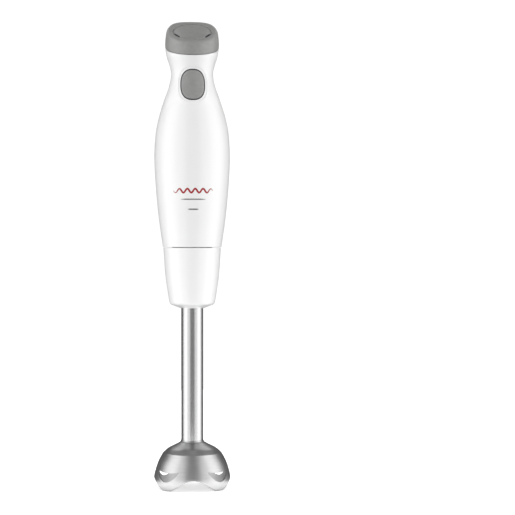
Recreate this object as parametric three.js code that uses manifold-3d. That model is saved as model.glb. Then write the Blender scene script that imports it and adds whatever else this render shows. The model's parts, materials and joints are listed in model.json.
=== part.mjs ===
// Immersion blender: a motor unit with a press button over a twist-off stainless foot with a four-lobed bell.
// Millimetres, +Z up, standing on the bell's lobes at z = 0. The axis of the drive is the Z axis, and the
// button faces -Y.
import * as THREE from "three";
import { mergeVertices } from "three/addons/utils/BufferGeometryUtils.js";
import Module from "manifold-3d";

const wasm = await Module();
wasm.setup();

// ---------------------------------------------------------------- driving dimensions
const WALL = 2.4; // moulded walls of the motor unit
const GAP = 0.3; // between pieces that touch
const SEAM_Z = 206; // parting line of motor unit and foot
const CAP_Z = 375.4; // cap seam on the axis
const CAP_SLOPE = 0.345; // the cap seam falls towards the front
const TOP_Z = 392.3; // sloped top face on the axis
const TOP_SLOPE = 0.58; // the top face falls towards the front
const TOP_LEVEL = { from: 8, fall: 0.019 }; // and levels off behind this y, by this much per mm squared
const BUTTON = { z: 343.3, halfWidth: 9.75, halfHeight: 12.6, gap: 0.8, roundness: 2.5, travel: 2 };
const BARREL = [
  [206, 25.0], [229, 28.3], [258, 31.1], [284, 32.25], [304, 31.0], [318, 28.1], [332, 23.7], [343, 19.8],
  [353.5, 17.85], [361, 19.3], [369, 21.8], [378.5, 23.0], [386, 22.5], [394, 21.3], [406, 19.2],
]; // height and outer radius of the hand-held barrel and its cap
const COLLAR = [
  [157.6, 19.1], [161, 19.9], [181, 22.8], [205.5, 24.6],
]; // height and outer radius of the foot's collar
const TUBE = { outer: 9.4, inner: 8.6, bottom: 36.6, top: 180.7 };
const SHAFT_R = 2.75;
const MOTOR_SHAFT_R = 2.5;
const SPIGOT = { outer: 17, inner: 14.6, bottom: 188 };
const LOBE = { lift: 9.85, flat: 0.66, count: 4 }; // the bell's rim rises between its lobes
const DISH = { y: -4.3, radius: 16.4, depth: 4.2 }; // round well in the cap's sloped top
const GLAND_Z = 389;
const VENT = { rows: 6, z: 212.6, pitch: 3.6, width: 15, height: 1.7 };
const DOG = { count: 3, angle: 28, lag: 38 }; // claws of the drive coupling, in degrees

const degrees = THREE.MathUtils.degToRad;

// ---------------------------------------------------------------- materials
const finish = (color, roughness, metalness = 0) => new THREE.MeshStandardMaterial({ color, roughness, metalness });
const white = finish("#f1f1f0", 0.28);
const grey = finish("#8f8f8d", 0.55);
const innerPlastic = finish("#c9c9c6", 0.5);
const blackPlastic = finish("#26262a", 0.5);
const rubber = finish("#34343a", 0.85);
const brushedSteel = finish("#b9b9ba", 0.3, 1);
const polishedSteel = finish("#c8c8ca", 0.18, 1);
const zincSteel = finish("#a5a6a8", 0.35, 1);
const bronze = finish("#a9793f", 0.4, 1);
const copper = finish("#b5683a", 0.35, 1);
const ferrite = finish("#3b3b3e", 0.7);
const carbon = finish("#2c2c2e", 0.7);
const board = finish("#2f6b3f", 0.5);
const capacitorYellow = finish("#d8b93a", 0.5);
const redWire = finish("#a92b25", 0.5);
const blackWire = finish("#1c1c1e", 0.5);

// ---------------------------------------------------------------- solids from meshes and back
function solidOf(geometry) {
  const bare = geometry.clone();
  for (const name of Object.keys(bare.attributes)) if (name !== "position") bare.deleteAttribute(name);
  const merged = mergeVertices(bare, 1e-4);
  const mesh = { numProp: 3, vertProperties: merged.attributes.position.array, triVerts: merged.index.array };
  mesh.triVerts = new Uint32Array(mesh.triVerts);
  return new wasm.Manifold(new wasm.Mesh(mesh));
}

function geometryOf(solid) {
  const mesh = solid.getMesh();
  return new THREE.BufferGeometry()
    .setAttribute("position", new THREE.BufferAttribute(mesh.vertProperties, 3))
    .setIndex(new THREE.BufferAttribute(mesh.triVerts, 1));
}

const combine = (how) => (first, ...rest) =>
  geometryOf(rest.reduce((made, tool) => made[how](solidOf(tool)), solidOf(first)));
const cut = combine("subtract");
const join = combine("add");
const common = combine("intersect");

// ---------------------------------------------------------------- shape helpers
// A smooth function through [position, value] stations, with slopes taken across each station's neighbours.
function curveThrough(stations) {
  const slope = stations.map((_, i) => {
    const before = stations[Math.max(i - 1, 0)];
    const after = stations[Math.min(i + 1, stations.length - 1)];
    return (after[1] - before[1]) / (after[0] - before[0]);
  });
  return (at) => {
    let i = 0;
    while (i < stations.length - 2 && at > stations[i + 1][0]) i++;
    const [p0, v0] = stations[i];
    const [p1, v1] = stations[i + 1];
    const span = p1 - p0;
    const t = THREE.MathUtils.clamp((at - p0) / span, 0, 1);
    const rise = t * t * (3 - 2 * t);
    const bend = slope[i] * t * (1 - t) ** 2 - slope[i + 1] * t * t * (1 - t);
    return v0 + (v1 - v0) * rise + bend * span;
  };
}
const barrelRadius = curveThrough(BARREL);

const steps = (from, to, count) => Array.from({ length: count + 1 }, (_, i) => from + ((to - from) * i) / count);
const polar = (radius, angle, z) => new THREE.Vector3(radius * Math.cos(angle), radius * Math.sin(angle), z);
const circleAngles = (count) => steps(0, 2 * Math.PI, count).slice(0, -1);

function endFaces(ring, first, upward) {
  let contour = ring.map((p) => new THREE.Vector2(p.x, p.y));
  let order = ring.map((_, i) => first + i);
  const turned = THREE.ShapeUtils.isClockWise(contour);
  if (turned) {
    contour = contour.reverse();
    order = order.reverse();
  }
  const keep = upward !== turned;
  return THREE.ShapeUtils.triangulateShape(contour, []).flatMap(([a, b, c]) =>
    keep ? [order[a], order[b], order[c]] : [order[a], order[c], order[b]],
  );
}

// A closed solid through rings of equally many points. Its ends are flat, or the last ring joins the first.
function loft(rings, joined = false) {
  const count = rings[0].length;
  const faces = [];
  const spans = joined ? rings.length : rings.length - 1;
  for (let k = 0; k < spans; k++) {
    const low = k * count;
    const high = ((k + 1) % rings.length) * count;
    for (let i = 0; i < count; i++) {
      const j = (i + 1) % count;
      faces.push(low + i, low + j, high + j, low + i, high + j, high + i);
    }
  }
  if (!joined) {
    faces.push(...endFaces(rings[0], 0, false));
    faces.push(...endFaces(rings.at(-1), (rings.length - 1) * count, true));
  }
  return new THREE.BufferGeometry()
    .setAttribute("position", new THREE.Float32BufferAttribute(rings.flat().flatMap((p) => p.toArray()), 3))
    .setIndex(faces);
}

// A turned piece about Z from [radius, height] points, given counter-clockwise with the radius to the right.
function turned(profile, segments = 24) {
  const onAxis = profile.some(([r]) => r === 0);
  const points = profile.map(([r, z]) => new THREE.Vector2(r, z));
  if (!onAxis) points.push(points[0].clone());
  return new THREE.LatheGeometry(points, segments).rotateX(Math.PI / 2);
}

const ringOf = (inner, outer, bottom, top, segments) =>
  turned([[inner, bottom], [outer, bottom], [outer, top], [inner, top]], segments);
const rod = (radius, bottom, top, segments = 12) =>
  new THREE.CylinderGeometry(radius, radius, top - bottom, segments)
    .rotateX(Math.PI / 2)
    .translate(0, 0, (bottom + top) / 2);
// A rod along Y at x and z, from one y to another.
const crossRod = (radius, x, z, from, to, segments = 12) =>
  new THREE.CylinderGeometry(radius, radius, to - from, segments).translate(x, (from + to) / 2, z);
const block = ([x0, x1], [y0, y1], [z0, z1]) =>
  new THREE.BoxGeometry(x1 - x0, y1 - y0, z1 - z0).translate((x0 + x1) / 2, (y0 + y1) / 2, (z0 + z1) / 2);

// A flat piece of an annulus standing on `bottom`, centred on the angle `middle`, in degrees.
function sector(inner, outer, middle, width, bottom, top, segments = 5) {
  const angles = steps(degrees(middle - width / 2), degrees(middle + width / 2), segments);
  const outline = [
    ...angles.map((a) => new THREE.Vector2(outer * Math.cos(a), outer * Math.sin(a))),
    ...angles.reverse().map((a) => new THREE.Vector2(inner * Math.cos(a), inner * Math.sin(a))),
  ];
  const extrusion = { depth: top - bottom, bevelEnabled: false };
  return new THREE.ExtrudeGeometry(new THREE.Shape(outline), extrusion).translate(0, 0, bottom);
}

const thirds = (make) => Array.from({ length: DOG.count }, (_, i) => make((360 / DOG.count) * i));

// A rounded prism along Y with the button's outline grown by `grow`.
function buttonPrism(grow, from, to) {
  const power = 2 / BUTTON.roundness;
  const outline = circleAngles(28).map((a) => {
    const side = (value, half) => Math.sign(value) * Math.abs(value) ** power * (half + grow);
    return new THREE.Vector2(side(Math.cos(a), BUTTON.halfWidth), side(Math.sin(a), BUTTON.halfHeight));
  });
  return new THREE.ExtrudeGeometry(new THREE.Shape(outline), { depth: to - from, bevelEnabled: false })
    .rotateX(Math.PI / 2)
    .translate(0, to, BUTTON.z);
}

// The barrel's round form around the button, `grow` outside its surface.
function buttonLayer(grow) {
  const heights = steps(BUTTON.z - 18, BUTTON.z + 18, 7);
  const wall = heights.map((z) => [barrelRadius(z) + grow, z]);
  return turned([[0, heights[0]], ...wall, [0, heights.at(-1)]], 32);
}

// A pan-head screw along +Z, its head's underside at the origin.
function screw(shankRadius, headRadius, length) {
  const head = headRadius * 0.75;
  const tip = length - shankRadius;
  return turned(
    [[0, -head], [headRadius * 0.8, -head], [headRadius, -head * 0.35], [headRadius, 0], [shankRadius, 0],
     [shankRadius, tip], [0, length]],
    10,
  );
}

// ---------------------------------------------------------------- barrel shells
// A point of the barrel at an angle, a share t of the way up, and `inset` inside the outer surface.
function barrelPoint(angle, t, inset) {
  let top = CAP_Z;
  for (let i = 0; i < 6; i++) top = CAP_Z + CAP_SLOPE * (barrelRadius(top) - inset) * Math.sin(angle);
  const z = SEAM_Z + t * (top - SEAM_Z);
  return polar(barrelRadius(z) - inset, angle, z);
}

const LIP_INSET = 4; // the shells' bottom lip holds the coupling housing's flange
const SHELL_ROWS = [
  [206, LIP_INSET], [207.4, LIP_INSET], [207.7, WALL],
  ...[222, 240, 258, 272, 285, 297, 308, 320, 332, 343, 353.5, 363, CAP_Z].map((z) => [z, WALL]),
];

// Half of the barrel, from one angle to another, as a C-shaped section carried up its height.
function shellHalf(from, to) {
  const angles = steps(degrees(from), degrees(to), 14);
  const rings = SHELL_ROWS.map(([z, inset]) => {
    const t = (z - SEAM_Z) / (CAP_Z - SEAM_Z);
    const outer = angles.map((a) => barrelPoint(a, t, 0));
    const inner = angles.map((a) => barrelPoint(a, t, inset)).reverse();
    return [...outer, ...inner];
  });
  return loft(rings);
}

const SHELL_SCREWS = [[-20, 306], [20, 306], [-17, 220], [17, 220]]; // x and z
const HEAD_Y = 8; // the shell screws' heads sit this far behind the split
const PARTING = 0.5; // degrees left free at each side of the split

// The middle of the barrel's wall, as a solid form that bosses and posts are trimmed to.
function barrelCore() {
  const heights = steps(SEAM_Z + 4, CAP_Z - 4, 12);
  const wall = heights.map((z) => [barrelRadius(z) - WALL / 2, z]);
  return turned([[0, heights[0]], ...wall, [0, heights.at(-1)]], 28);
}
const trimmedToWall = (...pieces) => pieces.map((piece) => common(piece, barrelCore()));

function frontShell() {
  const bosses = SHELL_SCREWS.map(([x, z]) => crossRod(3.4, x, z, -40, -0.4));
  const pilots = SHELL_SCREWS.map(([x, z]) => crossRod(1.8, x, z, -11, 1, 10));
  const shell = join(shellHalf(180 + PARTING, 360 - PARTING), ...trimmedToWall(...bosses));
  return cut(shell, ...pilots, buttonPrism(BUTTON.gap, -30, -8));
}

const BOARD = { front: 5.2, back: 6.8, bottom: 312, top: 360, halfWidth: 12 };
const BOARD_SCREWS = [317.5, 356.8]; // heights on the axis
const CLAMP_SCREWS = [-6, 6]; // x at the clamp's height
const CLAMP_Z = 365.6;

function rearShell() {
  const bosses = SHELL_SCREWS.map(([x, z]) => crossRod(5, x, z, 0.4, 40));
  const boardPosts = BOARD_SCREWS.map((z) => crossRod(2.6, 0, z, BOARD.back + GAP, 40));
  const clampPosts = CLAMP_SCREWS.map((x) => crossRod(2.2, x, CLAMP_Z, 9.1, 40));
  const recesses = SHELL_SCREWS.flatMap(([x, z]) => [
    crossRod(3.6, x, z, HEAD_Y, 40, 14),
    crossRod(1.8, x, z, -1, HEAD_Y + 1, 10),
  ]);
  const pilots = [
    ...BOARD_SCREWS.map((z) => crossRod(1.5, 0, z, 4, 14, 8)),
    ...CLAMP_SCREWS.map((x) => crossRod(1.4, x, CLAMP_Z, 8, 15, 8)),
  ];
  const half = VENT.width / 2;
  const vents = Array.from({ length: VENT.rows }, (_, i) => {
    const z = VENT.z + i * VENT.pitch;
    return block([-half, half], [18, 40], [z - VENT.height / 2, z + VENT.height / 2]);
  });
  const shell = join(shellHalf(PARTING, 180 - PARTING), ...trimmedToWall(...bosses, ...boardPosts, ...clampPosts));
  return cut(shell, ...recesses, ...pilots, ...vents);
}

// ---------------------------------------------------------------- cap
const CAP_ANGLES = circleAngles(32);
const topPlane = (y) => TOP_Z + TOP_SLOPE * y;
const topFace = (y) => topPlane(y) - TOP_LEVEL.fall * Math.max(y - TOP_LEVEL.from, 0) ** 2;
const EDGE_DROP = 3.4; // the rounded edge starts this far below the corner
const EDGE_WIDTH = 2.6; // and ends this far inside it
const CEILING_DROP = 7; // hollow's ceiling below the top face

function capCorner(angle) {
  let z = TOP_Z;
  for (let i = 0; i < 6; i++) z = topFace(barrelRadius(z) * Math.sin(angle));
  return z;
}

function capOuter() {
  const side = (share) => CAP_ANGLES.map((a) => {
    const low = barrelPoint(a, 1, 0).z + GAP;
    const z = low + share * (capCorner(a) - EDGE_DROP - low);
    return polar(barrelRadius(z), a, z);
  });
  const edge = (u) => CAP_ANGLES.map((a) => {
    const corner = capCorner(a);
    const radius = barrelRadius(corner);
    const start = [barrelRadius(corner - EDGE_DROP), corner - EDGE_DROP];
    const end = [radius - EDGE_WIDTH, topFace((radius - EDGE_WIDTH) * Math.sin(a))];
    const mix = (i, middle) => (1 - u) ** 2 * start[i] + 2 * u * (1 - u) * middle + u * u * end[i];
    return polar(mix(0, radius), a, mix(1, corner));
  });
  return loft([side(0), side(0.5), side(1), edge(0.3), edge(0.6), edge(0.82), edge(1)]);
}

function capHollow() {
  const below = CAP_ANGLES.map((a) => {
    const p = barrelPoint(a, 1, WALL);
    return new THREE.Vector3(p.x, p.y, p.z - 3);
  });
  const shoulder = CAP_ANGLES.map((a) => {
    const radius = barrelRadius(CAP_Z) - WALL;
    return polar(radius, a, topPlane(radius * Math.sin(a)) - CEILING_DROP - 3);
  });
  const ceiling = CAP_ANGLES.map((a) => {
    const radius = barrelRadius(CAP_Z) - WALL - 2.4;
    return polar(radius, a, topPlane(radius * Math.sin(a)) - CEILING_DROP);
  });
  return loft([below, shoulder, ceiling]);
}

// Turns a piece made about the dish's own axis, with its rim at z = 0, into place on the sloped top.
const onTopFace = (geometry) =>
  geometry.rotateX(Math.atan(TOP_SLOPE)).translate(0, DISH.y, topPlane(DISH.y));

// The crescent air inlets at both sides of the dish.
const AIR_INLET = { long: 4.4, wide: 1.7, radius: 15.6, angle: 30 };
function airInlets() {
  return [-1, 1].map((side) => {
    const crescent = rod(1, -12, 3, 14).scale(AIR_INLET.wide, AIR_INLET.long, 1);
    const turn = side < 0 ? degrees(180 + AIR_INLET.angle) : degrees(-AIR_INLET.angle);
    return onTopFace(crescent.translate(AIR_INLET.radius, 0, 0).rotateZ(turn));
  });
}

function topCap() {
  const well = onTopFace(rod(DISH.radius + 0.1, -DISH.depth, 6, 32));
  return cut(capOuter(), capHollow(), well, ...airInlets(), crossRod(5.5, 0, GLAND_Z, 12, 40, 16));
}

function capInsert() {
  const rim = DISH.radius - GAP;
  const disc = turned(
    [[0, -3.9], [rim, -3.9], [rim, -0.2], [rim - 2.1, -0.9], [rim - 7.7, -2.1], [0, -2.7]], 32,
  );
  return cut(onTopFace(disc), ...airInlets());
}

function cordGland() {
  return turned([[3.6, 18.4], [5.1, 18.4], [5.1, 23.4], [6.6, 23.6], [6.6, 25.4], [6, 26], [3.6, 26]], 16)
    .rotateX(-Math.PI / 2)
    .translate(0, 0, GLAND_Z);
}

// ---------------------------------------------------------------- button and electrics
const layerAtButton = barrelRadius(BUTTON.z);
const STEM_END = -6.2;

function powerButton() {
  const proud = 0.5;
  const back = -4.2;
  const plate = common(buttonPrism(0, -30, -6), buttonLayer(proud));
  const flange = common(buttonPrism(2.1, -30, -5), buttonLayer(-WALL - 2 * GAP));
  const stem = crossRod(2.4, 0, BUTTON.z, -layerAtButton - back - 1, STEM_END);
  return join(cut(join(plate, flange), buttonLayer(back)), stem);
}

function coilSpring(radius, wire, turns, length) {
  class Coil extends THREE.Curve {
    getPoint(t, target = new THREE.Vector3()) {
      const a = 2 * Math.PI * turns * t;
      return target.set(radius * Math.cos(a), length * t, radius * Math.sin(a));
    }
  }
  const section = new THREE.Shape(circleAngles(5).map((a) => new THREE.Vector2(wire * Math.cos(a), wire * Math.sin(a))));
  return new THREE.ExtrudeGeometry(section, { steps: turns * 10, extrudePath: new Coil(), bevelEnabled: false });
}

const switchBody = () => cut(
  block([-6.2, 6.2], [-3, BOARD.front - GAP], [335.2, 352.2]),
  crossRod(2.25, 0, BUTTON.z, -5, 2.2),
);
const switchPlunger = () => crossRod(1.9, 0, BUTTON.z, STEM_END + 0.4, -0.4);

const circuitBoard = () => cut(
  block([-BOARD.halfWidth, BOARD.halfWidth], [BOARD.front, BOARD.back], [BOARD.bottom, BOARD.top]),
  ...BOARD_SCREWS.map((z) => crossRod(1.6, 0, z, 0, 10, 10)),
);

const cordClamp = () => cut(
  block([-9, 9], [6, 8.8], [CLAMP_Z - 2.6, CLAMP_Z + 2.6]),
  ...CLAMP_SCREWS.map((x) => crossRod(1.5, x, CLAMP_Z, 0, 10, 10)),
);

// A motor lead from the board's lower edge, round the outside of the fan, to the brush plate.
function motorLead(side) {
  const route = new THREE.CatmullRomCurve3(
    [[8, 6, 310.8], [7.6, 12, 308], [7.2, 20.5, 304], [7, 24.8, 298], [7, 24.8, 292], [7, 21.5, 288.3], [7, 15, 287.2]]
      .map(([x, y, z]) => new THREE.Vector3(side * x, y, z)),
  );
  const section = new THREE.Shape(circleAngles(8).map((a) => new THREE.Vector2(0.8 * Math.cos(a), 0.8 * Math.sin(a))));
  return new THREE.ExtrudeGeometry(section, { steps: 16, extrudePath: route, bevelEnabled: false });
}

// ---------------------------------------------------------------- motor
const CAN = { radius: 19.5, wall: 1.4, bottom: 230, top: 276 };
const ARMATURE = { radius: 14, bottom: 240, top: 267, slots: 8 };
const bearingBore = MOTOR_SHAFT_R + GAP;
const MOTOR_SCREW_Y = [-12.5, 12.5];

function motorCan() {
  const inside = CAN.radius - CAN.wall;
  const floor = CAN.bottom + CAN.wall;
  const can = turned(
    [[6.4, CAN.bottom], [CAN.radius, CAN.bottom], [CAN.radius, CAN.top], [inside, CAN.top], [inside, floor],
     [6.4, floor]], 28,
  );
  return cut(can, ...MOTOR_SCREW_Y.map((y) => rod(1.7, CAN.bottom - 1, floor + 1, 8).translate(0, y, 0)));
}

const magnet = (middle) => sector(14.6, 17.7, middle, 124, 236, 272, 8);

function armatureCore() {
  const outline = circleAngles(ARMATURE.slots).flatMap((a) => {
    const at = (radius, turn) => new THREE.Vector2(radius * Math.cos(a + turn), radius * Math.sin(a + turn));
    const pitch = (2 * Math.PI) / ARMATURE.slots;
    return [
      at(ARMATURE.radius, 0.03), at(ARMATURE.radius, pitch / 2 - 0.05), at(ARMATURE.radius, pitch - 0.14),
      at(12.6, pitch - 0.14), at(12.2, pitch - 0.26), at(8.2, pitch - 0.22), at(8.2, pitch + 0.06),
      at(12.2, pitch + 0.1), at(12.6, pitch + 0.03),
    ];
  });
  const shape = new THREE.Shape(outline);
  const depth = ARMATURE.top - ARMATURE.bottom;
  const core = new THREE.ExtrudeGeometry(shape, { depth, bevelEnabled: false }).translate(0, 0, ARMATURE.bottom);
  return cut(core, rod(bearingBore, ARMATURE.bottom - 1, ARMATURE.top + 1));
}

function armatureWinding() {
  const endTurns = (bottom, top) =>
    turned([[4, bottom], [10.5, bottom], [12.8, bottom + 1.2], [12.8, top - 1.2], [10.5, top], [4, top]], 16);
  const bars = circleAngles(ARMATURE.slots).map((a) =>
    rod(1.25, ARMATURE.bottom - 2, ARMATURE.top + 2, 6).translate(10.2, 0, 0).rotateZ(a - 0.08),
  );
  const above = endTurns(ARMATURE.top + GAP, ARMATURE.top + 4.2);
  return join(above, endTurns(ARMATURE.bottom - 4.2, ARMATURE.bottom - GAP), ...bars);
}

const PLATE = { bottom: 276.4, ceiling: 283.4, top: 286, radius: 19.2 };
function brushPlate() {
  const plate = turned(
    [[6.8, PLATE.bottom], [PLATE.radius, PLATE.bottom], [PLATE.radius, PLATE.top], [4.7, PLATE.top],
     [4.7, PLATE.ceiling], [6.8, PLATE.ceiling]], 28,
  );
  return cut(plate, block([-2.7, 2.7], [-25, 25], [277.3, 282.3]));
}
const brush = (side) => block([-2.3, 2.3], side > 0 ? [6, 15] : [-15, -6], [277.7, 281.9]);

function coolingFan() {
  const hub = ringOf(bearingBore, 6, 290, 299, 16);
  const disc = ringOf(4, 21.5, 290, 291.4, 24);
  const blades = circleAngles(9).map((a) => block([5.5, 21], [-0.6, 0.6], [291, 298.6]).rotateZ(a));
  return join(hub, disc, ...blades);
}

// A soft ring round the motor, with lobes that reach the shells and leave air gaps between them.
function damperRing(reach, bottom, top) {
  const lobes = 6;
  const outline = circleAngles(48).map((a) => {
    const radius = reach - 3 * (0.5 - 0.5 * Math.cos(lobes * a));
    return new THREE.Vector2(radius * Math.cos(a), radius * Math.sin(a));
  });
  const depth = top - bottom;
  const pad = new THREE.ExtrudeGeometry(new THREE.Shape(outline), { depth, bevelEnabled: false });
  return cut(pad.translate(0, 0, bottom), rod(CAN.radius + GAP, bottom - 1, top + 1, 28));
}

const motorBracket = () => cut(
  ringOf(6.8, 19, 226.6, 229.6, 24),
  ...MOTOR_SCREW_Y.map((y) => rod(1.7, 220, 235, 8).translate(0, y, 0)),
);

// ---------------------------------------------------------------- coupling between motor unit and foot
const LUG = { inner: 16.4, outer: 18.6, width: 24, bottom: 190, top: 194 };
const TWIST = 30; // degrees from locked to free

function couplingHousing() {
  const { outer, inner, bottom } = SPIGOT;
  const body = turned(
    [[5, 207.9], [inner, 207.9], [inner, bottom], [outer, bottom], [outer, 207.9], [22.3, 207.9],
     [22.3, 210.9], [5, 210.9]], 30,
  );
  const lugs = thirds((a) => sector(LUG.inner, LUG.outer, a, LUG.width, LUG.bottom, LUG.top, 3));
  const posts = [[-7, -15], [7, -15], [-7, 15], [7, 15]].map(([x, y]) => rod(2.4, 210, 226.3, 10).translate(x, y, 0));
  return join(body, ...lugs, ...posts);
}

function driveCoupler() {
  const hub = cut(rod(8, 194.4, 203, 20), rod(bearingBore, 196.6, 204));
  return join(hub, ...thirds((a) => sector(3.8, 7.8, a, DOG.angle, 188.9, 195, 3)));
}

function drivenCoupler() {
  const hub = cut(rod(7.8, 184, 188.4, 20), rod(SHAFT_R + GAP, 183, 189));
  return join(hub, ...thirds((a) => sector(3.8, 7.8, a + DOG.lag, DOG.angle, 188, 193.9, 3)));
}

const sealRing = () => turned(
  [[17.4, 203.8], [17.9, 203.2], [19.7, 203.2], [20.3, 203.9], [20.3, 204.7], [19.7, 205.4], [17.9, 205.4],
   [17.4, 204.8]], 24,
);

// ---------------------------------------------------------------- foot
const collarRadius = curveThrough(COLLAR);

function footCollar() {
  const heights = steps(COLLAR[0][0], COLLAR.at(-1)[0], 6);
  const outer = heights.map((z) => [collarRadius(z), z]);
  const inner = steps(heights.at(-1), 160, 3).map((z) => [collarRadius(z) - 2.2, z]);
  const mouth = TUBE.outer + GAP + 0.1;
  return turned([[mouth, 153.7], [18.3, 156.9], ...outer, ...inner, [mouth, 156.2]], 32);
}

function collarSocket() {
  const bore = TUBE.outer + 0.4;
  const cup = turned(
    [[5, 181.2], [bore, 181.2], [bore, 161.5], [12.4, 161.5], [12.4, 180.6], [20.2, 180.6], [20.2, 202.8],
     [17.4, 202.8], [17.4, 183.4], [5, 183.4]], 30,
  );
  const room = LUG.width + TWIST + 8;
  const channels = thirds((a) => sector(16, 19.1, a - TWIST / 2, room, 185, 204, 6));
  return cut(cup, ...channels);
}

const shaftTube = () => ringOf(TUBE.inner, TUBE.outer, TUBE.bottom, TUBE.top, 32);

// Rim height of the bell at an angle: flat feet on the lobes and arches between them.
const rimHeight = (angle) =>
  Math.max(0, (LOBE.lift * (1 + Math.cos(LOBE.count * angle))) / 2 - LOBE.flat);

const SKIRT = [[0, 32.3], [9.4, 32.75], [16.7, 31.1], [23.6, 28.6], [30, 25.1]]; // height and outer radius
const DOME = [[33.9, 20.8], [36.9, 15], [38.3, 11.3], [40.2, 10.4]];
const SHEET = 1; // thickness of the bell
const SLOT = { halfWidth: 12, low: 7.4, lowRise: 7.9, high: 15.2, highRise: 1.7 };

function bellGuard() {
  const angles = circleAngles(48);
  const skirtRadius = curveThrough(SKIRT);
  const waist = 17; // rows below this height follow the rim
  const following = (share, inset) => angles.map((a) => {
    const rim = rimHeight(a);
    const z = rim + share * (waist - rim);
    return polar(skirtRadius(z) - inset, a, z);
  });
  const level = (radius, z) => angles.map((a) => polar(radius, a, z));
  const outer = [...steps(0, 1, 2).map((s) => following(s, 0)), level(skirtRadius(23.6), 23.6), level(25.1, 30),
    ...DOME.map(([z, r]) => level(r, z))];
  const lining = [level(9.75, 40.2), level(9.75, 37.4), level(14.5, 35.8), level(20.2, 32.9), level(24.2, 29.4),
    level(skirtRadius(23.6) - SHEET, 23.6), ...steps(1, 0, 2).map((s) => following(s, SHEET))];
  const bell = loft([...outer, ...lining], true);
  const across = steps(-SLOT.halfWidth, SLOT.halfWidth, 8);
  const curve = (u, base, rise) => base + rise * (u / SLOT.halfWidth) ** 2;
  const crescent = new THREE.Shape([
    ...across.map((u) => new THREE.Vector2(u, curve(u, SLOT.low, SLOT.lowRise))),
    ...across.reverse().map((u) => new THREE.Vector2(u, curve(u, SLOT.high, SLOT.highRise))),
  ]);
  const slots = [45, 135, 225, 315].map((a) =>
    new THREE.ExtrudeGeometry(crescent, { depth: 20, bevelEnabled: false })
      .rotateX(Math.PI / 2)
      .translate(0, 40, 0)
      .rotateZ(degrees(a - 90)),
  );
  return cut(bell, ...slots);
}

const bellHub = () => turned(
  [[5.6, 24.6], [7.6, 24.6], [8, 31.5], [11.5, 31.8], [18.6, 29.4], [19.4, 30.6], [18.4, 32.4], [11.6, 36],
   [8.2, 36], [8.2, 58], [5.6, 58]], 28,
);
const shaftSeal = () => turned([[3.1, 25.6], [4.2, 25.6], [5.3, 26.6], [5.3, 30], [3.4, 30], [3.1, 29]], 16);

function driveShaft() {
  const rivet = 4.2;
  return turned(
    [[0, 10.6], [rivet - 0.6, 10.6], [rivet, 11.2], [rivet, 12.7], [SHAFT_R, 12.7], [SHAFT_R, 188], [0, 188]], 14,
  );
}
const knifeHolder = () => turned([[3.05, 14.9], [6.6, 14.9], [6.6, 17.5], [4.6, 23], [3.05, 23]], 18);

const KNIFE_Z = 13.1; // underside of the knife's middle
// A two-winged knife along Y, one tip bent up and the other down, as sections along its length.
const KNIFE = [
  // along, lift, half width, sideways
  [-24.5, 4.6, 1.4, 2.6], [-21, 3.6, 3.8, 1.4], [-14, 1.2, 5.3, 0.2], [-9, 0, 5.8, 0], [0, 0, 6.2, 0],
  [9, 0, 5.8, 0], [14, -0.9, 5.3, -0.2], [21, -2.4, 3.8, -1.4], [24.5, -2.8, 1.4, -2.6],
];
function knife() {
  const thickness = 1.5;
  const sections = KNIFE.map(([along, lift, half, aside]) =>
    [[-half, 1], [half, 1], [half, 0], [-half, 0]].map(([x, up]) =>
      new THREE.Vector3(aside + x, -(KNIFE_Z + lift + up * thickness), along),
    ),
  );
  return cut(loft(sections).rotateX(-Math.PI / 2), rod(SHAFT_R + GAP, 10, 20, 14));
}

// ---------------------------------------------------------------- assembly
function group(name, parent) {
  const made = new THREE.Group();
  made.name = name;
  parent?.add(made);
  return made;
}

function add(parent, name, geometry, material, position = [0, 0, 0], rotation = [0, 0, 0]) {
  const mesh = new THREE.Mesh(geometry, material);
  mesh.name = name;
  mesh.position.set(...position);
  mesh.rotation.set(...rotation);
  parent.add(mesh);
}

const blender = group("immersion_blender");
const FACING_REAR = [-Math.PI / 2, 0, 0]; // turns a piece made along +Z to run along +Y
const FACING_FRONT = [Math.PI / 2, 0, 0];

const motorUnit = group("motor_unit", blender);
add(motorUnit, "front_shell", frontShell(), white);
add(motorUnit, "rear_shell", rearShell(), white);
add(motorUnit, "top_cap", topCap(), grey);
add(motorUnit, "cap_insert", capInsert(), grey);
add(motorUnit, "cord_gland", cordGland(), grey);
SHELL_SCREWS.forEach(([x, z], i) => {
  const name = ["upper_left", "upper_right", "lower_left", "lower_right"][i];
  add(motorUnit, `shell_screw_${name}`, screw(1.4, 2.8, 17), zincSteel, [x, HEAD_Y + GAP, z], FACING_FRONT);
});

const electrics = group("electrics", motorUnit);
add(electrics, "circuit_board", circuitBoard(), board);
add(electrics, "switch_body", switchBody(), blackPlastic);
add(electrics, "button_spring", coilSpring(4, 0.4, 4, 10), zincSteel, [0, -13.8, BUTTON.z]);
add(electrics, "capacitor", block([-7.5, 7.5], [7.1, 13], [326, 339]), capacitorYellow);
add(electrics, "bridge_rectifier", block([-6, 6], [7.1, 10.3], [343, 352]), blackPlastic);
add(electrics, "cord_clamp", cordClamp(), blackPlastic);
for (const [side, name] of [[-1, "left"], [1, "right"]]) {
  add(electrics, `choke_${name}`, rod(3.6, 321, 333, 14), copper, [side * 6.6, 1.2, 0]);
  add(electrics, `motor_lead_${name}`, motorLead(side), side < 0 ? redWire : blackWire);
  add(electrics, `clamp_screw_${name}`, screw(1.1, 2, 8.4), zincSteel, [side * 6, 5.7, CLAMP_Z], FACING_REAR);
}
BOARD_SCREWS.forEach((z, i) => {
  const name = ["lower", "upper"][i];
  add(electrics, `board_screw_${name}`, screw(1.15, 2.1, 7.6), zincSteel, [0, BOARD.front - GAP, z], FACING_REAR);
});

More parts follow.
